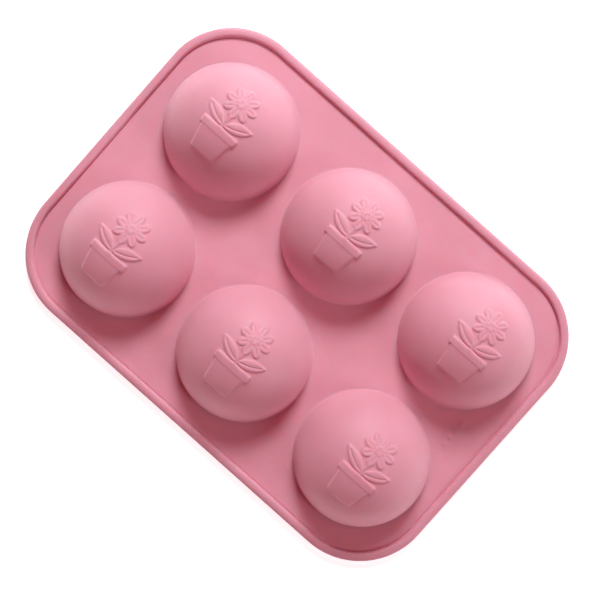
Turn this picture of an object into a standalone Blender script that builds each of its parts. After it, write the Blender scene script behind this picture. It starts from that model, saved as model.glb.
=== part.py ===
"""Silicone soap mould: a tray of six half-sphere cavities, lying with its domes up.

Metres, +Z up. The rim's pour-side face rests on z = 0, X is the tray's long axis and Y its
short one, and the origin is under the tray's centre. Each dome is the outside of a cavity
that opens downwards. The real mould is one moulding, so each node here is a region of it:
the rim, the deck, and for each cavity its standing wall and the crown that a thumb presses in.
"""

import math

import bmesh
import bpy

# Driving dimensions of the tray
COLUMNS = 3
ROWS = 2
PITCH = 0.0845
TRAY_LENGTH = 0.270
TRAY_WIDTH = 0.190
CORNER_RADIUS = 0.042
RIM_WIDTH = 0.0040
RIM_HEIGHT = 0.0055
RIM_EDGE_RADIUS = 0.0009
DECK_THICKNESS = 0.0020
MOUTH_Z = 0.0010  # the deck's underside, where the cavities open

# Driving dimensions of one cavity
CAVITY_RADIUS = 0.035
WALL = 0.0018
CROWN_RADIUS = 0.0275  # plan radius of the seam between standing wall and crown

# Clearance between neighbouring solids
GAP = 0.0003

# Fineness of the round shapes
TURN_STEPS = 28
ARC_STEPS = 4
CORNER_STEPS = 8
EDGE_STEPS = 2

# Look of the silicone
PINK = (0.84, 0.36, 0.43, 1.0)
ROUGHNESS = 0.55

# Modifiers may merge only what lies on one point
MERGE = 0.00001


def clear_scene():
    """Remove every object, so that the script can run again."""
    for thing in list(bpy.data.objects):
        bpy.data.objects.remove(thing, do_unlink=True)


def new_collection(name):
    """A collection linked to the scene."""
    collection = bpy.data.collections.new(name)
    bpy.context.scene.collection.children.link(collection)
    return collection


def silicone(name):
    """Matte pink silicone for one sub-part."""
    material = bpy.data.materials.new(name)
    material.use_nodes = True
    shader = material.node_tree.nodes["Principled BSDF"]
    shader.inputs["Base Color"].default_value = PINK
    shader.inputs["Roughness"].default_value = ROUGHNESS
    shader.inputs["Metallic"].default_value = 0.0
    material.diffuse_color = PINK
    return material


def place(name, mesh, collection, parent, location=(0.0, 0.0, 0.0)):
    """An object with its own material, parented to the tray's empty."""
    thing = bpy.data.objects.new(name, mesh)
    mesh.materials.append(silicone(name + "_silicone"))
    collection.objects.link(thing)
    thing.parent = parent
    thing.location = location
    return thing


def rounded_rectangle(length, width, radius):
    """Corner points, anticlockwise, of a rectangle with round corners."""
    points = []
    for quarter, (side_x, side_y) in enumerate([(1, 1), (-1, 1), (-1, -1), (1, -1)]):
        centre_x = side_x * (length / 2 - radius)
        centre_y = side_y * (width / 2 - radius)
        for step in range(CORNER_STEPS + 1):
            angle = math.radians(90) * (quarter + step / CORNER_STEPS)
            points.append((centre_x + radius * math.cos(angle), centre_y + radius * math.sin(angle)))
    return points


def circle(centre, radius):
    """Points of a circle with the same corners as a turned solid has."""
    turns = [2 * math.pi * step / TURN_STEPS for step in range(TURN_STEPS)]
    return [(centre[0] + radius * math.cos(turn), centre[1] + radius * math.sin(turn)) for turn in turns]


def plate_mesh(name, outlines, low, high):
    """A flat plate from low to high, with the first outline outside and the others as holes."""
    curve = bpy.data.curves.new(name, "CURVE")
    curve.dimensions = "2D"
    curve.fill_mode = "BOTH"
    curve.extrude = (high - low) / 2
    for outline in outlines:
        spline = curve.splines.new("POLY")
        spline.points.add(len(outline) - 1)
        for point, (x, y) in zip(spline.points, outline):
            point.co = (x, y, 0.0, 1.0)
        spline.use_cyclic_u = True
    guide = bpy.data.objects.new(name + "_outline", curve)
    bpy.context.scene.collection.objects.link(guide)
    depsgraph = bpy.context.evaluated_depsgraph_get()
    mesh = bpy.data.meshes.new_from_object(guide.evaluated_get(depsgraph))
    mesh.name = name
    bpy.data.objects.remove(guide, do_unlink=True)
    work = bmesh.new()
    work.from_mesh(mesh)
    bmesh.ops.remove_doubles(work, verts=work.verts, dist=MERGE)
    bmesh.ops.translate(work, verts=work.verts, vec=(0.0, 0.0, (low + high) / 2))
    bmesh.ops.recalc_face_normals(work, faces=work.faces)
    work.to_mesh(mesh)
    work.free()
    mesh.materials.clear()
    return mesh


def dome_arc(radius, start, stop):
    """Profile points (x, z) on a sphere about the mouth's centre, between two plan radii."""
    first = math.acos(start / radius)
    last = math.acos(stop / radius)
    tilts = [first + (last - first) * step / ARC_STEPS for step in range(ARC_STEPS + 1)]
    return [(radius * math.cos(tilt), radius * math.sin(tilt)) for tilt in tilts]


def profile_mesh(name, points, closed):
    """A chain of edges in the XZ plane, for a Screw modifier to turn."""
    mesh = bpy.data.meshes.new(name)
    work = bmesh.new()
    verts = [work.verts.new((x, 0.0, z)) for x, z in points]
    for one, other in zip(verts, verts[1:]):
        work.edges.new((one, other))
    if closed:
        work.edges.new((verts[-1], verts[0]))
    work.to_mesh(mesh)
    work.free()
    return mesh


def turn(thing):
    """Turn an object's profile all the way round its own Z axis."""
    screw = thing.modifiers.new("turn", "SCREW")
    screw.axis = "Z"
    screw.angle = 2 * math.pi
    screw.steps = TURN_STEPS
    screw.render_steps = TURN_STEPS
    screw.use_merge_vertices = True
    screw.merge_threshold = MERGE
    screw.use_smooth_shade = True


def make_rim(collection, parent):
    """The thick bead round the tray, with softened edges."""
    outer = rounded_rectangle(TRAY_LENGTH, TRAY_WIDTH, CORNER_RADIUS)
    inner = rounded_rectangle(
        TRAY_LENGTH - 2 * RIM_WIDTH, TRAY_WIDTH - 2 * RIM_WIDTH, CORNER_RADIUS - RIM_WIDTH
    )
    rim = place("rim", plate_mesh("rim", [outer, inner], 0.0, RIM_HEIGHT), collection, parent)
    soften = rim.modifiers.new("soft_edges", "BEVEL")
    soften.width = RIM_EDGE_RADIUS
    soften.segments = EDGE_STEPS
    soften.limit_method = "ANGLE"
    soften.angle_limit = math.radians(60)
    return rim


def make_deck(collection, parent, centres):
    """The thin web between the rim and the cavities, with a hole where each cavity stands."""
    inset = RIM_WIDTH + GAP
    outline = rounded_rectangle(
        TRAY_LENGTH - 2 * inset, TRAY_WIDTH - 2 * inset, CORNER_RADIUS - inset
    )
    hole_radius = CAVITY_RADIUS + WALL + GAP
    holes = [circle(centre, hole_radius) for centre in centres]
    mesh = plate_mesh("deck", [outline] + holes, MOUTH_Z, MOUTH_Z + DECK_THICKNESS)
    return place("deck", mesh, collection, parent)


def make_cup_wall(number, centre, collection, parent):
    """The standing lower part of one cavity's shell."""
    seam = CROWN_RADIUS + GAP / 2
    outside = dome_arc(CAVITY_RADIUS + WALL, seam, CAVITY_RADIUS + WALL)
    inside = dome_arc(CAVITY_RADIUS, CAVITY_RADIUS, seam)
    name = f"cup_wall_{number}"
    mesh = profile_mesh(name, outside + inside, closed=True)
    wall = place(name, mesh, collection, parent, (centre[0], centre[1], MOUTH_Z))
    turn(wall)
    return wall


def make_cup_crown(number, centre, collection, parent):
    """The cap of one cavity's shell. Its origin is on the axis along which it is pressed in."""
    seam = CROWN_RADIUS - GAP / 2
    outside = dome_arc(CAVITY_RADIUS + WALL, 0.0, seam)
    inside = dome_arc(CAVITY_RADIUS, seam, 0.0)
    name = f"cup_crown_{number}"
    mesh = profile_mesh(name, outside + inside, closed=False)
    crown = place(name, mesh, collection, parent, (centre[0], centre[1], MOUTH_Z))
    turn(crown)
    return crown


def cavity_centres():
    """Plan centres, column by column from -X, and from -Y within a column."""
    columns = [(column - (COLUMNS - 1) / 2) * PITCH for column in range(COLUMNS)]
    rows = [(row - (ROWS - 1) / 2) * PITCH for row in range(ROWS)]
    return [(x, y) for x in columns for y in rows]


def main():
    clear_scene()
    collection = new_collection("silicone_soap_mould")
    parent = bpy.data.objects.new("soap_mould", None)
    collection.objects.link(parent)
    centres = cavity_centres()
    make_rim(collection, parent)
    make_deck(collection, parent, centres)
    for number, centre in enumerate(centres, start=1):
        make_cup_wall(number, centre, collection, parent)
        make_cup_crown(number, centre, collection, parent)


main()
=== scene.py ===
"""The soap mould's looks: silicone skins, one for the tray and one for each dome.

The tray skin (rim and deck) rides on the tray, and each dome has a skin of its own in the place
of its dome's wall and crown. Every dome carries the same relief, a daisy in a flowerpot, on its
outside and, as on a real mould, inside its cavity.
Lengths are metres; the relief is drawn in millimetres in plan, x along +X and y along +Y.
"""

import math

import bmesh
import bpy
import numpy as np
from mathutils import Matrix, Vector, kdtree
from mathutils.geometry import delaunay_2d_cdt


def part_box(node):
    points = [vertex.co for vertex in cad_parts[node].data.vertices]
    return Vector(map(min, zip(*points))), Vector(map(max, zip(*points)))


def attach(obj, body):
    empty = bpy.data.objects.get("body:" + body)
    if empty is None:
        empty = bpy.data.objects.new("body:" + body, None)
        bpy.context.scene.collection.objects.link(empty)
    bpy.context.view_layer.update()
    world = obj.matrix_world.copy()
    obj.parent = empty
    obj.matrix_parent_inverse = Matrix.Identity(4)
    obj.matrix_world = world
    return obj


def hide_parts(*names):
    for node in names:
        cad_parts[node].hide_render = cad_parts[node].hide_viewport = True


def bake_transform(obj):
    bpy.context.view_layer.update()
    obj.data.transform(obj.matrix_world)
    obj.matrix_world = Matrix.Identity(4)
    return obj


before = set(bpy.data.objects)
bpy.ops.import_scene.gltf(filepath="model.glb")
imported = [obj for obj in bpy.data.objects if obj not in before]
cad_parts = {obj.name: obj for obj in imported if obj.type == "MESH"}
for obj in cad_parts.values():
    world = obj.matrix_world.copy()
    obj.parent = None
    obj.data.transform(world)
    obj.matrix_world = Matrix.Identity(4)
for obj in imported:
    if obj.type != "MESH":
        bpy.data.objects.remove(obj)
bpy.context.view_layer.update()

MM = 0.001

# The frame's own places
rim_low, rim_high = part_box("rim")
deck_low, deck_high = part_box("deck")
HALF_LENGTH, HALF_WIDTH, RIM_TOP = rim_high.x, rim_high.y, rim_high.z
MOUTH_Z, DECK_TOP = deck_low.z, deck_high.z
CUPS = [name.rsplit("_", 1)[1] for name in sorted(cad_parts) if name.startswith("cup_crown_")]


def cup_centre(cup):
    low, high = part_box("cup_wall_" + cup)
    return (low.x + high.x) / 2, (low.y + high.y) / 2


wall_low, wall_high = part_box("cup_wall_" + CUPS[0])
DOME_RADIUS = (wall_high.x - wall_low.x) / 2

# Sizes that the frame's boxes don't hold
CORNER_RADIUS = 42 * MM
WALL = 1.8 * MM
CAVITY_RADIUS = DOME_RADIUS - WALL
FOOT_FILLET = 0.9 * MM
LIP_RADIUS = 0.5 * MM
SEAM_RADIUS = 38.1 * MM  # where a dome's skin meets the deck's
RIM_REACH = 6.3 * MM  # from the tray's outer edge in to the flat deck
ASKEW = 0.8 * MM  # how far the -X end lies to one side

# Fineness: gaps between mesh points in mm, and the points round a dome's foot
RING_POINTS = 192
RING_GAP = 1.15
CONTOUR_GAP = 0.42
CONTOUR_LEAST = 0.16
BASE_CLEAR = 0.45
DECK_GRID = 5.0
DECK_LEAST = 0.3
GRID_CLEAR = 2.6
EDGE_CLEAR = 0.6


# ---------------------------------------------------------------- outlines of the relief, in mm


def bezier(a, b, c, d, count):
    """Points on a cubic curve, without its last."""
    t = np.linspace(0, 1, count, endpoint=False)[:, None]
    a, b, c, d = (np.array(p, float) for p in (a, b, c, d))
    return a * (1 - t) ** 3 + 3 * b * t * (1 - t) ** 2 + 3 * c * t * t * (1 - t) + d * t**3


def resample(points, gap):
    """The closed outline through points, with a point about every gap."""
    loop = np.vstack([points, points[:1]])
    steps = np.hypot(*np.diff(loop, axis=0).T)
    along = np.concatenate([[0], np.cumsum(steps)])
    count = max(8, int(round(along[-1] / gap)))
    at = np.linspace(0, along[-1], count, endpoint=False)
    return np.column_stack([np.interp(at, along, loop[:, k]) for k in range(2)])


def rounded(corners, radius):
    """An anticlockwise polygon with its corners rounded."""
    corners = np.array(corners, float)
    out = []
    for k, corner in enumerate(corners):
        back = corners[k - 1] - corner
        ahead = corners[(k + 1) % len(corners)] - corner
        back /= np.hypot(*back)
        ahead /= np.hypot(*ahead)
        half = math.acos(np.clip(back @ ahead, -1, 1)) / 2
        middle = (back + ahead) / np.hypot(*(back + ahead))
        centre = corner + middle * radius / math.sin(half)
        start = corner + back * radius / math.tan(half) - centre
        end = corner + ahead * radius / math.tan(half) - centre
        first = math.atan2(start[1], start[0])
        turn = (math.atan2(end[1], end[0]) - first + math.pi) % (2 * math.pi) - math.pi
        for share in np.linspace(0, 1, 9):
            angle = first + turn * share
            out.append(centre + radius * np.array([math.cos(angle), math.sin(angle)]))
    return np.array(out)


def ribbon(path, half_width):
    """The outline of a stroke along path, with round ends."""
    path = np.array(path, float)
    ahead = np.gradient(path, axis=0)
    ahead /= np.hypot(*ahead.T)[:, None]
    side = np.column_stack([ahead[:, 1], -ahead[:, 0]])
    turns = np.linspace(-math.pi / 2, math.pi / 2, 7)[1:-1, None]
    caps = []
    for end, sign in ((-1, 1), (0, -1)):
        spokes = np.cos(turns) * ahead[end] - np.sin(turns) * side[end]
        caps.append(path[end] + sign * half_width * spokes)
    right, left = path + side * half_width, path - side * half_width
    return np.vstack([right, caps[0], left[::-1], caps[1]])


def circle(count, first=0.0):
    """Points evenly round the unit circle, from the angle first."""
    turns = first + 2 * math.pi * np.arange(count) / count
    return np.column_stack([np.cos(turns), np.sin(turns)])


def ring(centre, radius):
    return centre + radius * circle(24)


def mirrored(outline):
    """The outline on the other side of the dome's centre line, still anticlockwise."""
    return (outline * [-1, 1])[::-1]


def slab(top, bottom, half_top, half_bottom, radius):
    """A rounded tapering block, symmetrical about the dome's centre line."""
    corners = [(-half_top, top), (-half_bottom, bottom), (half_bottom, bottom), (half_top, top)]
    return rounded(corners, radius)


def relief_shapes():
    """(outline, level, softness) from the bottom up: level in mm above the plain dome."""
    stem = bezier((0.0, -5.5), (-0.8, -1.5), (0.6, 1.5), (0.0, 6.0), 24)
    shapes = [
        (slab(-7.5, -21.0, 9.5, 7.0, 1.2), 0.80, 0.80),
        (ribbon(stem, 0.9), 0.60, 0.85),
    ]
    shapes += leaves()
    shapes.append((slab(-4.5, -8.5, 11.0, 10.7, 0.9), 1.00, 0.80))
    shapes += daisy((0.0, 11.0), 8)
    return shapes


def leaves():
    """A broad leaf with a sunk midrib on each side of the stem."""
    lower = bezier((0.3, -3.4), (4.5, -5.0), (11.0, -2.6), (14.0, 3.4), 24)
    upper = bezier((14.0, 3.4), (8.5, 4.2), (2.2, 2.6), (0.3, -3.4), 24)
    midrib = bezier((1.6, -2.4), (4.5, -2.0), (9.0, -0.2), (12.0, 2.4), 24)
    blade = np.vstack([lower, upper])
    vein = ribbon(midrib, 0.35)
    shapes = []
    for outline, level in ((blade, 0.62), (vein, 0.30)):
        shapes += [(outline, level, 0.70), (mirrored(outline), level, 0.70)]
    return shapes


def daisy(centre, petals):
    """Petals, each with a sunk line, round a raised middle with a ring of seeds."""
    near = bezier((2.4, -0.8), (4.5, -2.7), (8.6, -2.6), (9.2, 0.0), 16)
    far = bezier((9.2, 0.0), (8.6, 2.6), (4.5, 2.7), (2.4, 0.8), 16)
    petal = np.vstack([near, far])
    line = ribbon([(4.2, 0.0), (5.4, 0.0), (6.6, 0.0), (7.4, 0.0)], 0.3)
    shapes = []
    for outline, level in ((petal, 0.70), (line, 0.42)):
        for k in range(petals):
            shapes.append((turned(outline, 2 * math.pi * k / petals) + centre, level, 0.70))
    shapes.append((ring(centre, 2.8), 0.95, 0.80))
    for k in range(6):
        seed = turned(np.array([[1.5, 0.0]]), math.pi * k / 3)[0] + centre
        shapes.append((ring(seed, 0.4), 1.15, 0.60))
    return shapes


def turned(points, angle):
    cos, sin = math.cos(angle), math.sin(angle)
    return points @ np.array([[cos, sin], [-sin, cos]])


def side_distance(points, outline):
    """Distance in mm from each point to a closed outline, negative inside it."""
    a = outline
    b = np.roll(outline, -1, axis=0)
    edge = b - a
    rel = points[:, None, :] - a[None]
    share = np.clip((rel * edge).sum(2) / np.maximum((edge * edge).sum(1), 1e-9), 0, 1)
    gap = np.hypot(*np.moveaxis(rel - share[..., None] * edge, 2, 0)).min(1)
    above = (a[:, 1] > points[:, 1:2]) != (b[:, 1] > points[:, 1:2])
    rise = np.where(np.abs(edge[:, 1]) > 1e-12, edge[:, 1], 1e-12)
    crossing = a[:, 0] + (points[:, 1:2] - a[:, 1]) * edge[:, 0] / rise
    inside = (above & (points[:, :1] < crossing)).sum(1) % 2 == 1
    return np.where(inside, -gap, gap)


def relief_height(points, shapes):
    """Height in mm of the relief over the plain dome, at plan points in mm."""
    height = np.zeros(len(points))
    for outline, level, soft in shapes:
        reach = np.abs(points - (outline.max(0) + outline.min(0)) / 2) - np.ptp(outline, axis=0) / 2
        near = np.flatnonzero((reach < soft).all(1))
        if not len(near):
            continue
        share = eased(0.5 - side_distance(points[near], outline) / soft)
        height[near] = height[near] * (1 - share) + level * share
    return height


def eased(share):
    share = np.clip(share, 0, 1)
    return share * share * (3 - 2 * share)


# ---------------------------------------------------------------- meshes


def thin_out(points, gap):
    """Drops each point closer than gap to one already kept."""
    kept = []
    cells = {}

    def close(p):
        i, j = int(p[0] // gap), int(p[1] // gap)
        for a in (i - 1, i, i + 1):
            for b in (j - 1, j, j + 1):
                for q in cells.get((a, b), ()):
                    if math.hypot(p[0] - q[0], p[1] - q[1]) < gap:
                        return True
        return False

    for p in points:
        p = tuple(p)
        if not close(p):
            cells.setdefault((int(p[0] // gap), int(p[1] // gap)), []).append(p)
            kept.append(p)
    return np.array(kept, float).reshape(-1, 2)


def dome_plan(shapes):
    """Unrolled places on the dome, in mm of arc from the crown, triangulated: (points, faces)."""
    radius = DOME_RADIUS / MM
    rim_arc = radius * FOOT_TILT
    edge = rim_arc * circle(RING_POINTS)
    contour = []
    for outline, _, soft in shapes:
        dense = resample(outline, CONTOUR_GAP)
        ahead = np.roll(dense, -1, axis=0) - np.roll(dense, 1, axis=0)
        ahead /= np.maximum(np.hypot(*ahead.T), 1e-9)[:, None]
        side = np.column_stack([ahead[:, 1], -ahead[:, 0]])
        contour += [dense + side * soft * share for share in (-0.5, -0.17, 0.17, 0.5)]
    contour = unroll(np.vstack(contour), radius)
    contour = thin_out(contour, CONTOUR_LEAST)
    base = [np.zeros((1, 2))]
    count = int(rim_arc / RING_GAP)
    for k in range(1, count):
        arc = rim_arc * k / count
        points = max(6, int(round(2 * math.pi * min(arc, radius * math.sin(arc / radius)) / RING_GAP)))
        base.append(arc * circle(points, math.pi * (k % 2) / points))
    base = np.vstack(base)
    base = clear_of(base, contour, BASE_CLEAR)
    places = np.vstack([edge, contour, base])
    made = delaunay_2d_cdt([Vector(p) for p in places], [], [], 0, 1e-6)
    return np.array([tuple(p) for p in made[0]]), [tuple(f) for f in made[2]]


def clear_of(points, others, gap):
    """The points that lie at least gap from every other."""
    tree = kdtree.KDTree(len(others))
    for k, p in enumerate(others):
        tree.insert((p[0], p[1], 0), k)
    tree.balance()
    return np.array([p for p in points if tree.find((p[0], p[1], 0))[2] >= gap])


def unroll(plan, radius):
    """Plan places on a dome of that radius to places at their true arc from the crown."""
    reach = np.hypot(*plan.T)
    arc = radius * np.arcsin(np.clip(reach / radius, 0, 0.999))
    return plan * (arc / np.maximum(reach, 1e-9))[:, None]


def foot_tilt():
    """The tilt at which a dome runs into its foot fillet, and how far out the fillet's centre is."""
    drop = DECK_TOP - MOUTH_Z + FOOT_FILLET
    across = math.sqrt((DOME_RADIUS + FOOT_FILLET) ** 2 - drop**2)
    return math.atan2(across, drop), across


FOOT_TILT, FILLET_REACH = foot_tilt()


def foot_profile():
    """(radius, z) down the fillet, out over the deck, and back in under it to the cavity."""
    drop = DECK_TOP - MOUTH_Z + FOOT_FILLET
    start = math.pi / 2 - FOOT_TILT
    centre = np.array([FILLET_REACH, MOUTH_Z + drop])
    points = []
    for share in np.linspace(0, 1, 7)[1:]:
        angle = math.pi + start + (math.pi / 2 - start) * share
        points.append(tuple(centre + FOOT_FILLET * np.array([math.cos(angle), math.sin(angle)])))
    points.append(((points[-1][0] + SEAM_RADIUS) / 2, DECK_TOP))
    points.append((SEAM_RADIUS, DECK_TOP))
    points.append((SEAM_RADIUS, MOUTH_Z))
    points.append((SEAM_RADIUS - 0.5 * MM, MOUTH_Z))
    for share in np.linspace(0, 1, 4):
        angle = -math.pi / 2 - math.pi / 2 * share
        points.append(
            (
                CAVITY_RADIUS + LIP_RADIUS + LIP_RADIUS * math.cos(angle),
                MOUTH_Z + LIP_RADIUS + LIP_RADIUS * math.sin(angle),
            )
        )
    return points


def laid_down(verts):
    """The skin as soft silicone lies: its -X end a little askew, and gently uneven over the table."""
    x, y, z = verts.T
    askew = ASKEW * np.clip(y / (60 * MM), -1, 1) * eased((-60 * MM - x) / (75 * MM))
    long_wave = np.sin(x * 21.0 + 0.6) * np.cos(y * 26.0 - 0.4)
    short_wave = np.sin(x * 47.0 - y * 31.0 + 1.3)
    lift = (0.16 + 0.11 * long_wave + 0.05 * short_wave) * MM
    return np.column_stack([x - askew, y, z + lift])


def dome_mesh(plan, faces, heights):
    """The dome's closed shell about its own centre: (vertices, faces)."""
    radius = DOME_RADIUS / MM
    arc = np.hypot(*plan.T)
    tilt = arc / radius
    toward = plan / np.maximum(arc, 1e-9)[:, None]

    def shell(radius_m, lift):
        reach = (radius_m + lift * MM) * np.sin(tilt)
        up = MOUTH_Z + (radius_m + lift * MM) * np.cos(tilt)
        return np.column_stack([toward * reach[:, None], up])

    outer = shell(DOME_RADIUS, heights)
    inner = shell(CAVITY_RADIUS, heights)
    n = len(plan)
    edge = edge_ring(plan)
    verts = [outer, inner]
    made = [tuple(f) for f in faces] + [tuple(n + v for v in reversed(f)) for f in faces]
    last = list(edge)
    total = 2 * n
    angles = np.arctan2(plan[edge, 1], plan[edge, 0])
    for reach, up in foot_profile():
        level = np.full(len(angles), up)
        loop = np.column_stack([reach * np.cos(angles), reach * np.sin(angles), level])
        verts.append(loop)
        ids = list(range(total, total + len(loop)))
        made += quads(last, ids)
        last = ids
        total += len(loop)
    made += quads(last, [n + v for v in edge])
    return np.vstack(verts), made


def edge_ring(plan):
    """The outermost points in order round the crown."""
    arc = np.hypot(*plan.T)
    rim = np.flatnonzero(arc > arc.max() - 1e-3)
    return rim[np.argsort(np.arctan2(plan[rim, 1], plan[rim, 0]))]


def quads(upper, lower):
    """Faces between two closed rings of the same count."""
    count = len(upper)
    return [(upper[k], lower[k], lower[(k + 1) % count], upper[(k + 1) % count]) for k in range(count)]


def make_object(name, verts, faces, material):
    """A closed smooth mesh with outward faces and crisp seams."""
    mesh = bpy.data.meshes.new(name)
    mesh.from_pydata([tuple(v) for v in verts], [], faces)
    work = bmesh.new()
    work.from_mesh(mesh)
    bmesh.ops.recalc_face_normals(work, faces=work.faces)
    work.to_mesh(mesh)
    work.free()
    mesh.shade_smooth()
    mesh.set_sharp_from_angle(angle=math.radians(70))
    mesh.materials.append(material)
    thing = bpy.data.objects.new(name, mesh)
    bpy.context.scene.collection.objects.link(thing)
    return thing


# ---------------------------------------------------------------- tray skin


def tray_outline(inset):
    """Points round the tray at that inset from its outer edge."""
    steps_long, steps_short, steps_corner = 60, 34, 26
    run_x = HALF_LENGTH - CORNER_RADIUS
    run_y = HALF_WIDTH - CORNER_RADIUS
    points = []
    for quarter, (side_x, side_y) in enumerate([(1, 1), (-1, 1), (-1, -1), (1, -1)]):
        for step in range(steps_corner):
            angle = math.pi / 2 * (quarter + step / steps_corner)
            reach = (CORNER_RADIUS - inset) * np.array([math.cos(angle), math.sin(angle)])
            points.append(tuple(reach + [side_x * run_x, side_y * run_y]))
        angle = math.pi / 2 * (quarter + 1)
        out = np.array([math.cos(angle), math.sin(angle)]) * (CORNER_RADIUS - inset)
        start = np.array([side_x * run_x, side_y * run_y]) + out
        along = np.array([-math.sin(angle), math.cos(angle)])
        length = 2 * (run_x if quarter % 2 == 0 else run_y)
        steps = steps_long if quarter % 2 == 0 else steps_short
        for step in range(steps):
            points.append(tuple(start + along * length * step / steps))
    return np.array(points)


def bead_profile():
    """(inset, z) in mm over the bead: a fine crease at its foot, a steep inner wall, a round back."""
    top = RIM_TOP / MM
    deck = DECK_TOP / MM
    under = MOUTH_Z / MM
    back_reach, back_drop, heel = 2.4, 1.9, 0.6
    points = [(5.6, deck), (5.4, deck - 0.06), (5.2, deck - 0.36), (5.02, deck - 0.5)]
    points += [(4.84, deck - 0.4), (4.74, deck), (4.68, deck + 0.7), (4.6, top - 0.9)]
    points += [(4.44, top - 0.5), (4.14, top - 0.2), (3.7, top - 0.06), (3.0, top)]
    for share in np.linspace(0, 1, 10):
        angle = math.pi / 2 * share
        inset = back_reach * (1 - math.sin(angle))
        points.append((inset, top - 0.02 - back_drop * (1 - math.cos(angle))))
    points += [(0.0, 2.6), (0.0, 1.6), (0.0, 0.7)]
    for share in np.linspace(0, 1, 5)[1:]:
        angle = math.pi / 2 * share
        points.append((heel * (1 - math.cos(angle)), heel * (1 - math.sin(angle))))
    points += [(1.6, 0.0), (2.8, 0.0), (3.4, 0.05), (3.9, 0.25), (4.3, 0.6), (4.8, 0.9), (5.3, under)]
    return points


def pips():
    """Plan centres, in mm, of the row of small raised dots at the tray's end."""
    x = (HALF_LENGTH - 22.0 * MM) / MM
    return [(x, 4.6 * (k - 1.5)) for k in range(4)]


PIP_RADIUS, PIP_HEIGHT = 1.25, 0.35


def deck_borders(loop, centres):
    """The deck's fixed points, the closed links through them, and each seam's point numbers."""
    points, rings = [loop], []
    links = [(k, (k + 1) % len(loop)) for k in range(len(loop))]
    total = len(loop)
    for centre in centres:
        seam = list(range(total, total + RING_POINTS))
        links += zip(seam, seam[1:] + seam[:1])
        points.append(centre + circle(RING_POINTS) * SEAM_RADIUS / MM)
        rings.append(seam)
        total += RING_POINTS
    return np.vstack(points), links, rings


def deck_filling(loop, centres, borders):
    """Free points over the deck: rings round the domes and the dots, and a staggered grid."""
    near = []
    for centre in centres:
        for reach, count in ((0.7, 144), (2.0, 96), (4.5, 64)):
            near.append(centre + (SEAM_RADIUS / MM + reach) * circle(count))
    for place in pips():
        near.append(np.array([place]))
        near += [place + reach * circle(18, reach) for reach in (0.4, 0.8, 1.0, 1.2, 1.4, 1.7)]
    near = thin_out(np.vstack(near), DECK_LEAST)
    xs = np.arange(-HALF_LENGTH / MM, HALF_LENGTH / MM, DECK_GRID)
    ys = np.arange(-HALF_WIDTH / MM, HALF_WIDTH / MM, DECK_GRID)
    grid = np.array([(x + 0.4 * DECK_GRID * (k % 2), y) for k, y in enumerate(ys) for x in xs])
    free = np.vstack([near, clear_of(grid, np.vstack([near, borders]), GRID_CLEAR)])
    free = free[side_distance(free, loop) < -EDGE_CLEAR]
    for centre in centres:
        free = free[np.hypot(*(free - centre).T) > SEAM_RADIUS / MM + DECK_LEAST]
    return free


def flat_area(corners):
    a, b, c = corners[:3]
    return abs((b - a)[0] * (c - a)[1] - (b - a)[1] * (c - a)[0]) / 2


def deck_plan(loop):
    """The deck between the rim's loop and the domes' seams, in mm: (points, faces, seam rings)."""
    centres = [np.array(cup_centre(cup)) / MM for cup in CUPS]
    borders, links, rings = deck_borders(loop, centres)
    places = np.vstack([borders, deck_filling(loop, centres, borders)])
    made = delaunay_2d_cdt([Vector(p) for p in places], links, [], 0, 1e-6)
    flat = np.array([tuple(p) for p in made[0]])
    holes = [set(seam) for seam in rings]
    faces = []
    for face in made[2]:
        in_hole = any(hole.issuperset(face) for hole in holes)
        if not in_hole and flat_area(flat[list(face)]) > 1e-5:
            faces.append(tuple(face))
    return flat, faces, rings


def make_tray(material):
    """Rim bead and deck as one closed skin, with a hole where each dome's skin stands."""
    profile = [(inset * MM, z * MM) for inset, z in bead_profile()]
    loops = [(tray_outline(RIM_REACH), DECK_TOP)]
    loops += [(tray_outline(inset), z) for inset, z in profile]
    loops.append((tray_outline(RIM_REACH), MOUTH_Z))
    flat, faces, rings = deck_plan(loops[0][0] / MM)
    count = len(flat)
    size = len(loops[0][0])
    lift = np.zeros(count)
    for place in pips():
        reach = np.hypot(*(flat - place).T)
        lift = np.maximum(lift, PIP_HEIGHT * eased((PIP_RADIUS + 0.25 - reach) / 0.7))
    top = np.column_stack([flat * MM, DECK_TOP + lift * MM])
    under = np.column_stack([flat * MM, np.full(count, MOUTH_Z)])
    verts = [top, under]
    made = list(faces) + [tuple(count + v for v in reversed(f)) for f in faces]
    last = list(range(size))
    total = 2 * count
    for plan, z in loops[1:-1]:
        verts.append(np.column_stack([plan, np.full(size, z)]))
        ids = list(range(total, total + size))
        made += quads(last, ids)
        last = ids
        total += size
    made += quads(last, list(range(count, count + size)))
    for seam in rings:
        made += quads(seam, [count + v for v in seam])
    tray = make_object("tray_skin", laid_down(np.vstack(verts)), made, material)
    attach(tray, "tray")
    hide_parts("rim", "deck")


def make_domes(material):
    """The six dome skins, alike but for their place."""
    shapes = relief_shapes()
    plan, faces = dome_plan(shapes)
    tilt = np.hypot(*plan.T) / (DOME_RADIUS / MM)
    seen = plan * (np.sin(tilt) / np.maximum(tilt, 1e-9))[:, None]
    heights = relief_height(seen, shapes)
    verts, skin_faces = dome_mesh(plan, faces, heights)
    for cup in CUPS:
        x, y = cup_centre(cup)
        placed = laid_down(verts + [x, y, 0])
        dome = make_object("dome_skin_" + cup, placed, skin_faces, material)
        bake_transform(dome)
        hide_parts("cup_wall_" + cup, "cup_crown_" + cup)


# ---------------------------------------------------------------- material


def noise(tree, place, scale, detail, rough=0.5):
    node = tree.nodes.new("ShaderNodeTexNoise")
    node.inputs["Scale"].default_value = scale
    node.inputs["Detail"].default_value = detail
    node.inputs["Roughness"].default_value = rough
    tree.links.new(place, node.inputs["Vector"])
    return node.outputs["Fac"]


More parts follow.
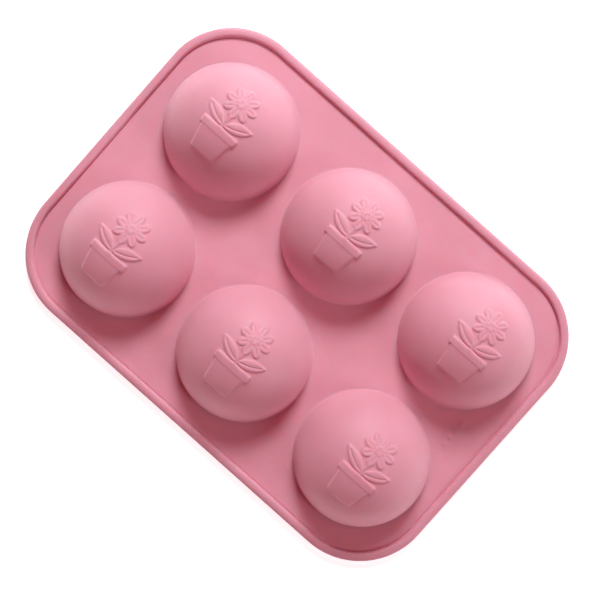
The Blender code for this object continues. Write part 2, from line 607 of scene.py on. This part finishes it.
def ramp(tree, value, first, last):
    """Spreads the middle of a noise value between two colours."""
    node = tree.nodes.new("ShaderNodeValToRGB")
    for element, position, colour in zip(node.color_ramp.elements, (0.3, 0.7), (first, last)):
        element.position = position
        element.color = colour
    tree.links.new(value, node.inputs["Fac"])
    return node.outputs["Color"]


def bump(tree, height, strength, distance):
    node = tree.nodes.new("ShaderNodeBump")
    node.inputs["Strength"].default_value = strength
    node.inputs["Distance"].default_value = distance
    tree.links.new(height, node.inputs["Height"])
    return node


def silicone():
    """Matte, slightly translucent pink silicone with a fine moulded grain."""
    material = bpy.data.materials.new("pink_silicone_skin")
    material.use_nodes = True
    tree = material.node_tree
    shader = tree.nodes["Principled BSDF"]
    place = tree.nodes.new("ShaderNodeTexCoord").outputs["Object"]
    tint = ramp(tree, noise(tree, place, 55, 4), (0.80, 0.405, 0.508, 1), (0.83, 0.44, 0.55, 1))
    gloss = ramp(tree, noise(tree, place, 420, 3), (0.50, 0.50, 0.50, 1), (0.60, 0.60, 0.60, 1))
    grain = bump(tree, noise(tree, place, 1500, 5, 0.6), 0.35, 0.06 * MM)
    orange_peel = bump(tree, noise(tree, place, 260, 2), 0.4, 0.3 * MM)
    tree.links.new(grain.outputs["Normal"], orange_peel.inputs["Normal"])
    tree.links.new(tint, shader.inputs["Base Color"])
    tree.links.new(gloss, shader.inputs["Roughness"])
    tree.links.new(orange_peel.outputs["Normal"], shader.inputs["Normal"])
    shader.inputs["IOR"].default_value = 1.41
    shader.inputs["Subsurface Weight"].default_value = 0.45
    shader.inputs["Subsurface Radius"].default_value = (1.0, 0.20, 0.25)
    shader.inputs["Subsurface Scale"].default_value = 1.5 * MM
    shader.inputs["Sheen Weight"].default_value = 0.15
    shader.inputs["Sheen Roughness"].default_value = 0.5
    return material


# ---------------------------------------------------------------- studio


def white_paper(name, glow):
    """Matte white that glows a little, as the overlit paper of a product photo does."""
    material = bpy.data.materials.new(name)
    material.use_nodes = True
    shader = material.node_tree.nodes["Principled BSDF"]
    shader.inputs["Base Color"].default_value = (0.95, 0.95, 0.95, 1)
    shader.inputs["Roughness"].default_value = 0.9
    shader.inputs["Emission Color"].default_value = (1, 1, 1, 1)
    shader.inputs["Emission Strength"].default_value = glow
    return material


def make_floor():
    bpy.ops.mesh.primitive_plane_add(size=40.0, location=(0, 0, -0.0002))
    floor = bpy.context.object
    floor.name = "studio_floor"
    floor.data.materials.append(white_paper("floor_paper", 0.72))


def make_backdrop():
    """White paper all round, seen by the camera alone so that the room's light still comes in."""
    bpy.ops.mesh.primitive_uv_sphere_add(radius=12.0, segments=64, ring_count=32)
    backdrop = bpy.context.object
    backdrop.name = "studio_backdrop"
    backdrop.visible_diffuse = False
    backdrop.visible_glossy = False
    backdrop.visible_transmission = False
    backdrop.visible_volume_scatter = False
    backdrop.visible_shadow = False
    backdrop.data.materials.append(white_paper("backdrop_paper", 0.8))


def make_camera():
    """Straight above the tray, turned so that its long side runs down to the right."""
    data = bpy.data.cameras.new("camera")
    data.sensor_width = 36.0
    data.lens = 61.57
    camera = bpy.data.objects.new("camera", data)
    bpy.context.scene.collection.objects.link(camera)
    camera.location = (3.2 * MM, -0.8 * MM, DECK_TOP + 553.6 * MM)
    camera.rotation_euler = (0, 0, math.radians(41.74))
    data.clip_start, data.clip_end = 0.01, 20
    bpy.context.scene.camera = camera


# Each softbox: turn and rise as seen from the tray, distance, width, height, watts
KEY = (119.7, 41.0, 1.30, 0.50, 0.36, 13.2)
FILL = (11.7, 37.0, 3.00, 0.90, 0.90, 15.5)
ROOM, ROOM_TINT = 0.24, (1.0, 0.26, 0.28, 1)


def softbox(name, turn, rise, distance, width, height, power):
    turn, rise = math.radians(turn), math.radians(rise)
    toward = Vector((math.cos(turn) * math.cos(rise), math.sin(turn) * math.cos(rise), math.sin(rise)))
    data = bpy.data.lights.new(name, "AREA")
    data.shape = "RECTANGLE"
    data.size, data.size_y = width, height
    data.energy = power
    light = bpy.data.objects.new(name, data)
    bpy.context.scene.collection.objects.link(light)
    light.location = toward * distance
    light.rotation_euler = (-toward).to_track_quat("-Z", "Y").to_euler()


def make_lights():
    """A softbox from the picture's top, a weaker one from its lower right, and a dim warm room."""
    softbox("key", *KEY)
    softbox("fill", *FILL)
    world = bpy.data.worlds.new("room")
    world.use_nodes = True
    world.node_tree.nodes["Background"].inputs["Color"].default_value = ROOM_TINT
    world.node_tree.nodes["Background"].inputs["Strength"].default_value = ROOM
    bpy.context.scene.world = world


skin = silicone()
make_tray(skin)
make_domes(skin)
make_floor()
make_backdrop()
make_camera()
make_lights()
bpy.context.scene.view_settings.view_transform = "Standard"
